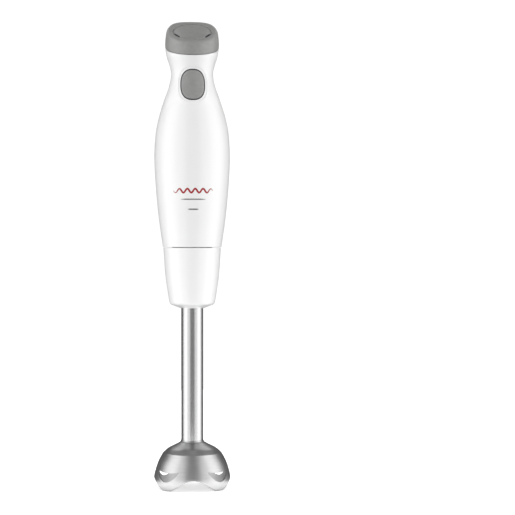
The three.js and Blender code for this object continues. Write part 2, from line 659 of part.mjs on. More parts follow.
const motor = group("motor", motorUnit);
add(motor, "motor_can", motorCan(), zincSteel);
add(motor, "magnet_left", magnet(180), ferrite);
add(motor, "magnet_right", magnet(0), ferrite);
add(motor, "brush_plate", brushPlate(), blackPlastic);
add(motor, "brush_front", brush(-1), carbon);
add(motor, "brush_rear", brush(1), carbon);
add(motor, "upper_bearing", ringOf(bearingBore, 4.4, 283.7, 287.4, 16), bronze);
add(motor, "lower_bearing", ringOf(bearingBore, 6.1, 229.9, 235, 16), bronze);
add(motor, "upper_damper", damperRing(28.6, 267, 272), rubber);
add(motor, "lower_damper", damperRing(25.6, 231, 235), rubber);
add(motor, "motor_bracket", motorBracket(), zincSteel);
MOTOR_SCREW_Y.forEach((y, i) =>
  add(motor, `motor_screw_${["front", "rear"][i]}`, screw(1.3, 2.5, 7), zincSteel, [0, y, 226.3]),
);
add(motorUnit, "coupling_housing", couplingHousing(), innerPlastic);

const button = group("button", blender);
add(button, "power_button", powerButton(), grey);
const plunger = group("plunger", blender);
add(plunger, "switch_plunger", switchPlunger(), innerPlastic);

const rotor = group("rotor", blender);
add(rotor, "motor_shaft", rod(MOTOR_SHAFT_R, 197, 301), polishedSteel);
add(rotor, "armature_core", armatureCore(), zincSteel);
add(rotor, "armature_winding", armatureWinding(), copper);
add(rotor, "commutator", ringOf(bearingBore, 5.6, 272.2, 283, 16), copper);
add(rotor, "cooling_fan", coolingFan(), blackPlastic);
add(rotor, "drive_coupler", driveCoupler(), blackPlastic);

const lockSeal = group("lock_seal", blender);
add(lockSeal, "seal_ring", sealRing(), rubber);

const foot = group("foot", blender);
add(foot, "foot_collar", footCollar(), white);
add(foot, "collar_socket", collarSocket(), innerPlastic);
add(foot, "shaft_tube", shaftTube(), brushedSteel);
add(foot, "bell_guard", bellGuard(), polishedSteel);
add(foot, "bell_hub", bellHub(), innerPlastic);
add(foot, "upper_bush", ringOf(SHAFT_R + GAP, 8.3, 169, 178, 16), bronze);
add(foot, "lower_bush", ringOf(SHAFT_R + GAP, 5.3, 31, 43, 16), bronze);
add(foot, "shaft_seal", shaftSeal(), rubber);

const bladeShaft = group("blade_shaft", blender);
add(bladeShaft, "drive_shaft", driveShaft(), polishedSteel);
add(bladeShaft, "driven_coupler", drivenCoupler(), blackPlastic);
add(bladeShaft, "knife_holder", knifeHolder(), blackPlastic);
add(bladeShaft, "knife", knife(), polishedSteel);

export default blender;
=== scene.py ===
"""Immersion blender: a white grip with a grey cap and button over a twist-off steel foot.

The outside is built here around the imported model, whose inner parts keep their own meshes. The object's
sizes are in millimetres, which the helpers turn into metres. The camera and the lights are in metres.
"""
import json
import math

import bmesh
import bpy
import numpy as np
from mathutils import Matrix, Vector


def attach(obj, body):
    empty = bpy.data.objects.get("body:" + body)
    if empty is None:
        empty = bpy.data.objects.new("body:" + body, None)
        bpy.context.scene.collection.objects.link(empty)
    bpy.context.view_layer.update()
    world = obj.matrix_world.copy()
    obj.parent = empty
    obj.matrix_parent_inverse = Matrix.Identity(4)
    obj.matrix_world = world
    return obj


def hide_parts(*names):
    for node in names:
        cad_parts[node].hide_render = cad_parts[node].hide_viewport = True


MM = 0.001

# ------------------------------------------------------------------ frame and camera, before any piece
SENSOR_WIDTH, LENS = 36, 118.835  # millimetres
EYE = (-0.045, -1.457, 0.212)
TURN_RIGHT, LOOK_DOWN = 3.97, 0.59  # degrees

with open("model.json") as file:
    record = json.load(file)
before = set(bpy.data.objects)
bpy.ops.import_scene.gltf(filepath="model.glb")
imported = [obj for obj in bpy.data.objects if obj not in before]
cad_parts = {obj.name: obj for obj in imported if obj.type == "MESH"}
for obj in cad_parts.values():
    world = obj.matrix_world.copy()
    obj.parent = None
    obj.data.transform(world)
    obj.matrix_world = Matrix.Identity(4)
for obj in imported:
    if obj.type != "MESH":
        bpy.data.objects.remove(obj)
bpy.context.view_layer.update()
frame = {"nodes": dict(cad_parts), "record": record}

camera_data = bpy.data.cameras.new("camera")
camera_data.sensor_width = SENSOR_WIDTH
camera_data.lens = LENS
camera_data.clip_end = 50
camera = bpy.data.objects.new("camera", camera_data)
camera.location = EYE
camera.rotation_euler = (math.radians(90 - LOOK_DOWN), 0, math.radians(-TURN_RIGHT))
bpy.context.scene.collection.objects.link(camera)
bpy.context.scene.camera = camera
bpy.context.scene.view_settings.view_transform = "Standard"

# ------------------------------------------------------------------ dimensions, in millimetres
SEAM_Z = 206.0
CAP_Z, CAP_SLOPE, CAP_GAP = 375.4, 0.345, 0.3
TOP_Z, TOP_SLOPE = 392.3, 0.58
TOP_LEVEL_FROM, TOP_LEVEL_FALL = 8.0, 0.019  # behind this y the top face levels off
BARREL = [
    (206, 25.0), (229, 28.3), (258, 31.1), (284, 32.25), (304, 31.0), (318, 28.1), (332, 23.7), (343, 19.8),
    (353.5, 17.85), (361, 19.3), (369, 21.8), (378.5, 23.0), (386, 22.5), (394, 21.3), (406, 19.2),
]
COLLAR = [(157.6, 19.1), (161, 19.9), (181, 22.8), (205.5, 24.6)]
SKIRT = [(0, 32.3), (9.4, 32.75), (16.7, 31.1), (23.6, 28.6), (30, 25.1)]
BUTTON_Z, BUTTON_HALF_WIDTH, BUTTON_HALF_HEIGHT = 343.3, 9.75, 12.6
BUTTON_POWER = 2.5  # between an oval and a rectangle
BUTTON_GAP = 0.8
BUTTON_DEPTH = 2.6  # short enough to clear the spring when pressed
DISH_Y, DISH_RADIUS, DISH_DEPTH = -4.3, 16.5, 4.2
TOP_TILT = math.atan(TOP_SLOPE)
DISH_GAP = 0.4
EDGE_FALL, EDGE_WIDTH = 3.4, 2.6  # size of the cap's rounded upper edge
INLET = {"long": 4.4, "wide": 1.7, "radius": 15.6, "angle": 30.0}
GLAND_Z = 389.0
SHELL_WALL = 1.5
TONGUE_DEPTH, TONGUE_WALL, TONGUE_TURN = 0.75, 0.6, 2.2
VENTS = {"count": 6, "first": 212.6, "pitch": 3.6, "half": (7.5, 0.85)}
UPPER_SCREW, LOWER_SCREW = (20, 306), (17, 220)
SHELL_SCREWS = {
    "upper_left": (-UPPER_SCREW[0], UPPER_SCREW[1]), "upper_right": UPPER_SCREW,
    "lower_left": (-LOWER_SCREW[0], LOWER_SCREW[1]), "lower_right": LOWER_SCREW,
}
SCREW_SEAT_Y, SCREW_WELL_RADIUS = 8.3, 3.55
SCREW_LENGTH, SCREW_RADIUS, SCREW_KEY = 16.8, 1.4, 1.2
COLLAR_WALL, COLLAR_BORE = 2.2, 9.85
TUBE_RADIUS, TUBE_WALL, TUBE_FOOT, TUBE_TOP = 9.4, 0.8, 36.6, 180.7
BELL_WALL = 0.95
LOBES = 4
LOBE_RISE, LOBE_SINK = 9.85, 0.66  # the rim is flat on each lobe, and between them rises by the difference
SLOT = {"half_width": 12.0, "low": 7.4, "low_rise": 7.9, "high": 15.2, "high_rise": 1.7}
SLOT_END = 1.6  # radius of a slot's round ends
SLOT_RADIUS = 32.2  # about that of the skirt at the slots' height
KNIFE_Z, KNIFE_THICK, KNIFE_REACH = 13.1, 1.5, 24.4
WAVE = {"half_length": 16.5, "length": 6.6, "rise": 1.7, "z": 253.4, "width": 1.45}
RULES = {"mark_long_rule": (246.2, 10.5, 1.0), "mark_short_rule": (237.8, 4.6, 1.2)}  # z, half length, width


def curve_through(stations):
    """A smooth function through (position, value) stations."""
    last = len(stations) - 1
    slopes = []
    for i in range(last + 1):
        before, after = stations[max(i - 1, 0)], stations[min(i + 1, last)]
        slopes.append((after[1] - before[1]) / (after[0] - before[0]))

    def value(at):
        i = 0
        while i < last - 1 and at > stations[i + 1][0]:
            i += 1
        (p0, v0), (p1, v1) = stations[i], stations[i + 1]
        span = p1 - p0
        t = min(max((at - p0) / span, 0), 1)
        bend = slopes[i] * t * (1 - t) ** 2 - slopes[i + 1] * t * t * (1 - t)
        return v0 + (v1 - v0) * t * t * (3 - 2 * t) + bend * span

    return value


barrel_radius = curve_through(BARREL)
collar_radius = curve_through(COLLAR)
skirt_radius = curve_through(SKIRT)


# ------------------------------------------------------------------ mesh helpers
class Surface:
    """Points and faces being gathered, in millimetres."""

    def __init__(self):
        self.points = []
        self.faces = []

    def row(self, points):
        start = len(self.points)
        self.points.extend(points)
        return list(range(start, start + len(points)))

    def strip(self, low, high, closed=False):
        count = len(low)
        for i in range(count if closed else count - 1):
            j = (i + 1) % count
            self.faces.append((low[i], low[j], high[j], high[i]))

    def grid(self, rows, closed=False, ends_meet=False):
        made = [self.row(r) for r in rows]
        for low, high in zip(made, made[1:]):
            self.strip(low, high, closed)
        if ends_meet:
            self.strip(made[-1], made[0], closed)
        return made

    def fan(self, row, point):
        centre = self.row([point])[0]
        for i in range(len(row)):
            self.faces.append((row[i], row[(i + 1) % len(row)], centre))


WELD, SPECK = 2e-6, 1e-6  # metres


def piece(name, body, stands_for, surface, material, thickness=0.0, sharp=38):
    """A welded mesh object of a surface, facing outwards, smooth but for its sharp edges, on its body."""
    mesh = bpy.data.meshes.new(name)
    mesh.from_pydata([Vector(p) * MM for p in surface.points], [], surface.faces)
    work = bmesh.new()
    work.from_mesh(mesh)
    bmesh.ops.delete(work, geom=[v for v in work.verts if not v.link_faces], context="VERTS")
    bmesh.ops.remove_doubles(work, verts=work.verts, dist=WELD)
    bmesh.ops.dissolve_degenerate(work, edges=work.edges, dist=SPECK)
    bmesh.ops.recalc_face_normals(work, faces=work.faces)
    if thickness:
        flat = Vector((1, 1, 0))
        outward = sum(f.calc_area() * f.normal.dot(f.calc_center_median() * flat) for f in work.faces)
        if outward < 0:
            bmesh.ops.reverse_faces(work, faces=work.faces)
    work.to_mesh(mesh)
    work.free()
    obj = bpy.data.objects.new(name, mesh)
    bpy.context.scene.collection.objects.link(obj)
    if thickness:
        solidify = obj.modifiers.new("wall", "SOLIDIFY")
        solidify.thickness = thickness * MM
        solidify.offset = -1
        bpy.context.view_layer.update()
        walled = bpy.data.meshes.new_from_object(obj.evaluated_get(bpy.context.evaluated_depsgraph_get()))
        obj.modifiers.clear()
        obj.data = walled
        walled.name = name
    obj.data.shade_smooth()
    obj.data.set_sharp_from_angle(angle=math.radians(sharp))
    obj.data.materials.clear()
    obj.data.materials.append(material)
    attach(obj, body)
    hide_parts(*stands_for)
    return obj


def spin(count):
    return [2 * math.pi * i / count for i in range(count)]


def turned(radii, angles, heights):
    """A ring of points about Z, from a radius, an angle and a height for each."""
    return [(r * math.cos(a), r * math.sin(a), z) for r, a, z in zip(radii, angles, heights)]


def nearest(values, wanted):
    return int(np.argmin([abs(value - wanted) for value in values]))


def rounded(profile, closed=True, steps=5):
    """A profile of (radius, height, fillet) with each corner rounded by its fillet."""
    count = len(profile)
    out = []
    for i, (r, z, fillet) in enumerate(profile):
        here = np.array((r, z), float)
        at_end = not closed and i in (0, count - 1)
        if fillet <= 0 or at_end:
            out.append(tuple(here))
            continue
        before = np.array(profile[i - 1][:2], float) - here
        after = np.array(profile[(i + 1) % count][:2], float) - here
        reach = [min(fillet, 0.48 * np.linalg.norm(side)) for side in (before, after)]
        start = here + before / np.linalg.norm(before) * reach[0]
        end = here + after / np.linalg.norm(after) * reach[1]
        for t in np.linspace(0, 1, steps + 1):
            out.append(tuple((1 - t) ** 2 * start + 2 * t * (1 - t) * here + t * t * end))
    return out


def lathe(profile, segments=96, closed=True):
    """The surface of a profile turned about Z. A profile that isn't closed starts and ends on the axis."""
    surface = Surface()
    angles = spin(segments)
    rows = [turned([r] * segments, angles, [z] * segments) for r, z in profile]
    surface.grid(rows, closed=True, ends_meet=closed)
    return surface


def moved(surface, matrix):
    surface.points = [tuple(matrix @ Vector(p)) for p in surface.points]
    return surface


def superellipse(angle, half_width, half_height, power):
    c, s = math.cos(angle), math.sin(angle)
    return (
        math.copysign(abs(c) ** (2 / power), c) * half_width,
        math.copysign(abs(s) ** (2 / power), s) * half_height,
    )


# ------------------------------------------------------------------ materials
class Nodes:
    """A material's node tree, with short ways to add what the finishes below share."""

    def __init__(self, name, color, roughness, metallic=0.0, **sockets):
        self.material = bpy.data.materials.new(name)
        self.material.use_nodes = True
        self.tree = self.material.node_tree
        self.shader = self.tree.nodes["Principled BSDF"]
        self.shader.inputs["Base Color"].default_value = (*color, 1)
        self.shader.inputs["Roughness"].default_value = roughness
        self.shader.inputs["Metallic"].default_value = metallic
        for socket, value in sockets.items():
            self.shader.inputs[socket.replace("_", " ")].default_value = value
        self.place = self.add("ShaderNodeTexCoord").outputs["Object"]

    def add(self, kind, **settings):
        node = self.tree.nodes.new(kind)
        for key, value in settings.items():
            setattr(node, key, value)
        return node

    def link(self, source, target):
        self.tree.links.new(source, target)

    def stretched(self, scale):
        mapping = self.add("ShaderNodeMapping")
        mapping.inputs["Scale"].default_value = scale
        self.link(self.place, mapping.inputs["Vector"])
        return mapping.outputs["Vector"]

    def around(self, along, turns):
        """Coordinates that follow a turned surface: height and radius finely, angle coarsely."""
        parts = self.add("ShaderNodeSeparateXYZ")
        self.link(self.place, parts.inputs["Vector"])
        angle = self.add("ShaderNodeMath", operation="ARCTAN2")
        self.link(parts.outputs["Y"], angle.inputs[0])
        self.link(parts.outputs["X"], angle.inputs[1])
        turn = self.add("ShaderNodeMath", operation="MULTIPLY")
        self.link(angle.outputs[0], turn.inputs[0])
        turn.inputs[1].default_value = turns
        flat = self.add("ShaderNodeVectorMath", operation="MULTIPLY")
        self.link(self.place, flat.inputs[0])
        flat.inputs[1].default_value = (1, 1, 0)
        radius = self.add("ShaderNodeVectorMath", operation="LENGTH")
        self.link(flat.outputs[0], radius.inputs[0])
        out = self.add("ShaderNodeCombineXYZ")
        for source, socket in ((radius.outputs["Value"], "X"), (parts.outputs["Z"], "Y")):
            fine = self.add("ShaderNodeMath", operation="MULTIPLY")
            self.link(source, fine.inputs[0])
            fine.inputs[1].default_value = along
            self.link(fine.outputs[0], out.inputs[socket])
        self.link(turn.outputs[0], out.inputs["Z"])
        return out.outputs["Vector"]

    def noise(self, scale, detail=3.0, vector=None, roughness=0.5):
        node = self.add("ShaderNodeTexNoise")
        node.inputs["Scale"].default_value = scale
        node.inputs["Detail"].default_value = detail
        node.inputs["Roughness"].default_value = roughness
        self.link(vector or self.place, node.inputs["Vector"])
        return node.outputs["Fac"]

    def cells(self, scale):
        node = self.add("ShaderNodeTexVoronoi")
        node.inputs["Scale"].default_value = scale
        self.link(self.place, node.inputs["Vector"])
        return node.outputs["Distance"]

    def shade(self, factor, dark, light, low=0.3, high=0.7):
        """The base colour runs from dark to light as the factor runs from low to high."""
        ramp = self.add("ShaderNodeValToRGB")
        for stop, at, color in zip(ramp.color_ramp.elements, (low, high), (dark, light)):
            stop.position = at
            stop.color = (*color, 1)
        self.link(factor, ramp.inputs["Fac"])
        self.link(ramp.outputs["Color"], self.shader.inputs["Base Color"])
        return self

    def polish(self, factor, low, high):
        """The roughness runs from low to high with the factor."""
        spread = self.add("ShaderNodeMapRange")
        spread.inputs["From Min"].default_value = 0.3
        spread.inputs["From Max"].default_value = 0.7
        spread.inputs["To Min"].default_value = low
        spread.inputs["To Max"].default_value = high
        self.link(factor, spread.inputs["Value"])
        self.link(spread.outputs["Result"], self.shader.inputs["Roughness"])
        return self

    def bump(self, height, strength, distance):
        node = self.add("ShaderNodeBump")
        node.inputs["Strength"].default_value = strength
        node.inputs["Distance"].default_value = distance
        self.link(height, node.inputs["Height"])
        self.link(node.outputs["Normal"], self.shader.inputs["Normal"])
        return self


def gloss_white():
    m = Nodes("gloss_white", (0.92, 0.92, 0.92), 0.31, Coat_Weight=0.5, Coat_Roughness=0.12)
    m.shade(m.noise(18, 2), (0.91, 0.91, 0.91), (0.93, 0.93, 0.928))
    m.bump(m.noise(900, 2), 0.05, 0.00005)
    return m.material


def soft_grey():
    m = Nodes("soft_grey", (0.27, 0.27, 0.262), 0.4, Specular_IOR_Level=0.65)
    m.shade(m.noise(350, 3), (0.275, 0.275, 0.27), (0.305, 0.305, 0.3))
    m.polish(m.noise(500, 2), 0.34, 0.42)
    m.bump(m.cells(1600), 0.18, 0.00008)
    return m.material


def moulded(name, dark, light, roughness=0.5, grain=0.12):
    m = Nodes(name, light, roughness)
    m.shade(m.noise(120, 4), dark, light)
    m.polish(m.noise(240, 3), roughness - 0.06, roughness + 0.06)
    m.bump(m.noise(1400, 2), grain, 0.00006)
    return m.material


def rubber_black():
    m = Nodes("rubber_black", (0.035, 0.035, 0.037), 0.8)
    m.shade(m.noise(200, 4), (0.028, 0.028, 0.03), (0.045, 0.045, 0.047))
    m.bump(m.noise(1800, 3), 0.2, 0.00008)
    return m.material


def drawn_steel():
    """Brushed along the tube, so that the streaks run up and down."""
    m = Nodes("drawn_steel", (0.53, 0.53, 0.54), 0.27, 1.0)
    streaks = m.noise(1, 4, m.stretched((2600, 2600, 14)), 0.6)
    m.shade(streaks, (0.51, 0.51, 0.515), (0.55, 0.55, 0.555))
    m.polish(streaks, 0.24, 0.29)
    m.bump(streaks, 0.03, 0.00002)
    return m.material


def spun_steel(name, light, low, high):
    """Polished while turning, so that the lines run round the axis."""
    m = Nodes(name, (light, light, light), 0.27, 1.0)
    lines = m.noise(1, 4, m.around(2200, 3), 0.6)
    m.shade(lines, (light - 0.04,) * 3, (light + 0.03,) * 3)
    m.polish(lines, low, high)
    m.bump(lines, 0.03, 0.00002)
    return m.material


def plated(name, color, roughness=0.3):
    m = Nodes(name, color, roughness, 1.0)
    m.shade(m.noise(160, 4), tuple(c * 0.85 for c in color), color)
    m.polish(m.noise(300, 4), roughness - 0.08, roughness + 0.1)
    m.bump(m.noise(2200, 2), 0.08, 0.00004)
    return m.material


def wound_copper():
    """Turns of enamelled wire lying side by side."""
    m = Nodes("wound_copper", (0.55, 0.22, 0.1), 0.35, 1.0)
    wave = m.add("ShaderNodeTexWave", bands_direction="Z")
    wave.inputs["Scale"].default_value = 700
    wave.inputs["Distortion"].default_value = 1.5
    m.link(m.place, wave.inputs["Vector"])
    # darker where the bands dip, in the grooves between the turns: painted shade
    m.shade(wave.outputs["Fac"], (0.3, 0.1, 0.05), (0.62, 0.27, 0.13), 0.1, 0.8)
    m.bump(wave.outputs["Fac"], 0.5, 0.0002)
    return m.material


def laminate_green():
    """Solder mask over a mesh of copper tracks."""
    m = Nodes("laminate_green", (0.03, 0.16, 0.06), 0.35)
    tracks = m.add("ShaderNodeTexBrick")
    tracks.inputs["Scale"].default_value = 160
    m.link(m.place, tracks.inputs["Vector"])
    m.shade(tracks.outputs["Fac"], (0.02, 0.12, 0.045), (0.05, 0.24, 0.09))
    m.bump(tracks.outputs["Fac"], 0.2, 0.00005)
    return m.material


def ink(name, color):
    m = Nodes(name, color, 0.4)
    m.shade(m.noise(900, 3), tuple(c * 0.85 for c in color), color)
    return m.material


WHITE = gloss_white()
GREY = soft_grey()
INNER = moulded("inner_plastic", (0.5, 0.5, 0.485), (0.58, 0.58, 0.565))
BLACK = moulded("black_plastic", (0.014, 0.014, 0.015), (0.024, 0.024, 0.026))
RUBBER = rubber_black()
TUBE_STEEL = drawn_steel()
BELL_STEEL = spun_steel("spun_steel", 0.46, 0.31, 0.35)
BLADE_STEEL = spun_steel("ground_steel", 0.66, 0.16, 0.3)
ZINC = plated("zinc_plate", (0.56, 0.56, 0.58))
BRONZE = plated("sintered_bronze", (0.5, 0.31, 0.13), 0.42)
COPPER = wound_copper()
FERRITE = moulded("ferrite", (0.03, 0.03, 0.032), (0.05, 0.05, 0.052), 0.7, 0.3)
CARBON = moulded("pressed_carbon", (0.018, 0.018, 0.02), (0.03, 0.03, 0.032), 0.65, 0.3)
LAMINATE = laminate_green()
YELLOW = moulded("capacitor_case", (0.62, 0.42, 0.03), (0.7, 0.5, 0.05), 0.4)
RED_WIRE = moulded("red_insulation", (0.3, 0.015, 0.012), (0.38, 0.025, 0.02), 0.45)
RED_INK = ink("red_ink", (0.4, 0.012, 0.02))
GREY_INK = ink("grey_ink", (0.2, 0.2, 0.2))
BLACK_WIRE = moulded("black_insulation", (0.01, 0.01, 0.011), (0.018, 0.018, 0.02), 0.45)

SLOT_MATERIALS = {
    "body_white": WHITE, "soft_grey": GREY, "inner_plastic": INNER, "black_plastic": BLACK,
    "seal_rubber": RUBBER, "brushed_tube": TUBE_STEEL, "bell_steel": BELL_STEEL, "plain_steel": ZINC,
    "blade_steel": BLADE_STEEL, "bronze": BRONZE, "copper": COPPER, "ferrite": FERRITE, "carbon": CARBON,
    "circuit_green": LAMINATE, "capacitor_yellow": YELLOW, "lead_red": RED_WIRE, "lead_black": BLACK_WIRE,
}


# ------------------------------------------------------------------ barrel shells
def edge_drop(distance, fillet):
    """How far a surface has fallen away at a distance from a rounded edge."""
    if distance >= fillet:
        return 0.0
    return fillet - math.sqrt(max(fillet**2 - (fillet - distance) ** 2, 0))


def cap_seam(angle, radius_inset=0.0):
    """Height of the slanted seam under the cap at an angle about Z."""
    z = CAP_Z
    for _ in range(6):
        z = CAP_Z + CAP_SLOPE * (barrel_radius(z) - radius_inset) * math.sin(angle)
    return z


ROW_STEP, COLUMN_STEP = 1.2, 2.5
EDGE_ROWS = (0.0, 0.05, 0.15, 0.3, 0.5)
SEAM_ROWS = (0.15, 0.3, 0.45, 0.6, 0.75, 0.88, 0.95, 0.975, 0.99, 1)
EDGE_COLUMNS = [89.5, 89.35, 89.1, 88.6]
SPLIT_TURN, SPLIT_FILLET = EDGE_COLUMNS[0], 0.3
STRAIGHT_TOP = 363.2  # rows are level up to here, and follow the slanted seam above


def shell_rows():
    rows = [SEAM_Z + d for d in EDGE_ROWS] + list(np.arange(SEAM_Z + ROW_STEP, STRAIGHT_TOP + 0.1, ROW_STEP))
    return [("level", z) for z in rows] + [("seam", share) for share in SEAM_ROWS]


def shell_columns():
    inner = list(np.arange(-87.5, 87.6, COLUMN_STEP))
    return [-c for c in EDGE_COLUMNS] + inner + EDGE_COLUMNS[::-1]


def shell(facing, holes):
    """Half of the barrel, facing -1 for the front and 1 for the rear, with rings round each hole."""
    columns, rows = shell_columns(), shell_rows()
    top_of = [cap_seam(math.radians(facing * (90 - abs(c)))) for c in columns]

    def on_shell(turn, z, inset=0.0):
        radius = barrel_radius(z) - inset
        a = math.radians(turn)
        return (radius * math.sin(a), facing * radius * math.cos(a), z)

    def height(j, row):
        kind, value = row
        return value if kind == "level" else STRAIGHT_TOP + value * (top_of[j] - STRAIGHT_TOP)

    surface = Surface()
    index = {}
    for i, row in enumerate(rows):
        for j, turn in enumerate(columns):
            z = height(j, row)
            from_split = math.radians(SPLIT_TURN - abs(turn)) * barrel_radius(z)
            drop = max(edge_drop(z - SEAM_Z, SPLIT_FILLET), edge_drop(top_of[j] - z, SPLIT_FILLET),
                       edge_drop(from_split, SPLIT_FILLET))
            index[i, j] = surface.row([on_shell(turn, z, drop)])[0]

    levels = [value for kind, value in rows if kind == "level"]

    def patch(hole):
        """Rings of faces from the grid's cells to the hole's edge and down its wall. Returns the cells."""
        j0, j1 = (nearest(columns, edge) for edge in hole["turns"])
        i0, i1 = (nearest(levels, edge) for edge in hole["heights"])
        border = (
            [(i0, j) for j in range(j0, j1)] + [(i, j1) for i in range(i0, i1)]
            + [(i1, j) for j in range(j1, j0, -1)] + [(i, j0) for i in range(i1, i0, -1)]
        )
        mid_turn, half_turn = (columns[j0] + columns[j1]) / 2, (columns[j1] - columns[j0]) / 2
        mid_z, half_z = (levels[i0] + levels[i1]) / 2, (levels[i1] - levels[i0]) / 2
        centre_x, centre_z = hole["centre"]
        ring_of = [[] for _ in hole["rings"]]
        walls = [[] for _ in hole["wall"]]
        for i, j in border:
            turn, z = columns[j], levels[i]
            angle = math.atan2((z - mid_z) / half_z, (turn - mid_turn) / half_turn)
            dx, dz = superellipse(angle, *hole["half"], hole["power"])
            edge_z = centre_z + dz
            edge_turn = math.degrees(math.asin((centre_x + dx) / barrel_radius(edge_z)))
            edge = np.array(on_shell(edge_turn, edge_z))
            length = np.linalg.norm(np.array(on_shell(turn, z)) - edge)
            shrink = min(1, 0.7 * length / hole["rings"][-1])
            for ring, distance in zip(ring_of, hole["rings"]):
                share = distance * shrink / length
                ring_turn = edge_turn + (turn - edge_turn) * share
                ring_z = edge_z + (z - edge_z) * share
                ring.append(on_shell(ring_turn, ring_z, hole["profile"](distance * shrink)))
            rim_y = ring_of[0][-1][1]
            for wall, (inward, depth) in zip(walls, hole["wall"]):
                y = facing * depth if hole["depth_is_place"] else rim_y - facing * depth
                wall.append((centre_x + dx * (1 - inward), y, centre_z + dz * (1 - inward)))
        chain = [[index[i, j] for i, j in border]]
        chain += [surface.row(ring) for ring in reversed(ring_of)]
        chain += [surface.row(wall) for wall in walls]
        for low, high in zip(chain, chain[1:]):
            surface.strip(low, high, closed=True)
        return {(i, j) for i in range(i0, i1) for j in range(j0, j1)}

    taken = set()
    for hole in holes:
        taken |= patch(hole)
    for i in range(len(rows) - 1):
        for j in range(len(columns) - 1):
            if (i, j) not in taken:
                surface.faces.append((index[i, j], index[i, j + 1], index[i + 1, j + 1], index[i + 1, j]))
    return surface


def parting_tongue(side):
    """The lip of the front shell that shows in the groove between the shells."""
    angles = [math.radians(-TONGUE_TURN), math.radians(TONGUE_TURN)]
    surface = Surface()
    rows = []
    for z in np.linspace(SEAM_Z + 1, cap_seam(0.0) - 1, 90):
        radius = barrel_radius(z) - TONGUE_DEPTH
        rows.append([(side * radius * math.cos(a), radius * math.sin(a), z) for a in angles])
    surface.grid(rows)
    return surface


FINE_RINGS = (0.0, 0.06, 0.15, 0.3, 0.5, 0.8, 1.3)
RING_DEPTH, RING_REACH, RING_STEP = 0.32, 2.4, 0.5


def button_rim(distance):
    """A rounded edge at the hole, then a shallow ring that the thumb can feel, ending in a soft step."""
    past = min(max((distance - RING_REACH + RING_STEP) / RING_STEP, 0), 1)
    return edge_drop(distance, 0.35) + RING_DEPTH * (1 - past)


def front_shell():
    hole = {
        "turns": (-57.5, 57.5), "heights": (323.6, 362.0), "centre": (0, BUTTON_Z),
        "half": (BUTTON_HALF_WIDTH + BUTTON_GAP, BUTTON_HALF_HEIGHT + BUTTON_GAP), "power": BUTTON_POWER,
        "rings": (0.0, 0.08, 0.2, 0.35, 0.7, 1.2, 1.6, 1.9, 2.05, 2.2, 2.35, 2.5, 2.9, 3.6),
        "profile": button_rim, "wall": ((0, 0.8), (0, 2.2)), "depth_is_place": False,
    }
    return shell(-1, [hole])


def rear_shell():
    holes = []
    reach = VENTS["pitch"] / 2
    for k in range(VENTS["count"]):
        z = VENTS["first"] + k * VENTS["pitch"]
        holes.append({
            "turns": (-22.5, 22.5), "heights": (z - reach, z + reach), "centre": (0, z),
            "half": VENTS["half"], "power": 5, "rings": FINE_RINGS[:5],
            "profile": lambda d: edge_drop(d, 0.25), "wall": ((0, 0.8), (0, 2.0)), "depth_is_place": False,
        })
    for x, z in SHELL_SCREWS.values():
        turns, around = ((27.5, 57.5), 6.6) if z == UPPER_SCREW[1] else ((25, 57.5), 6.0)
        holes.append({
            "turns": turns if x > 0 else (-turns[1], -turns[0]), "heights": (z - around, z + around),
            "centre": (x, z), "half": (SCREW_WELL_RADIUS,) * 2, "power": 2, "rings": FINE_RINGS,
            "profile": lambda d: edge_drop(d, 0.4), "wall": ((0, SCREW_SEAT_Y + 3), (0, 8), (0.5, 8)),
            "depth_is_place": True,
        })
    return shell(1, holes)


# ------------------------------------------------------------------ cap
def top_plane(y):
    return TOP_Z + TOP_SLOPE * y


def top_face(y):
    return top_plane(y) - TOP_LEVEL_FALL * max(y - TOP_LEVEL_FROM, 0) ** 2


def cap_corner(angle):
    z = TOP_Z
    for _ in range(6):
        z = top_face(barrel_radius(z) * math.sin(angle))
    return z


def dish_point(angle, radius, depth=0.0):
    """A point of the dish's own disc: angle and radius about its axis, depth under the top face."""
    x, along = radius * math.cos(angle), radius * math.sin(angle)
    y = DISH_Y + along * math.cos(TOP_TILT) + depth * math.sin(TOP_TILT)
    z = top_plane(DISH_Y) + along * math.sin(TOP_TILT) - depth * math.cos(TOP_TILT)
    return (x, y, z)


def inlet_bite(angle):
    """Inner radius of the air inlets at an angle about the dish's axis, or None away from them."""
    for middle in (-INLET["angle"], 180 + INLET["angle"]):
        off = (math.degrees(angle) - middle + 180) % 360 - 180
        u = math.radians(off) * INLET["radius"] / INLET["long"]
        if abs(u) < 1:
            return INLET["radius"] - INLET["wide"] * math.sqrt(1 - u * u)
    return None


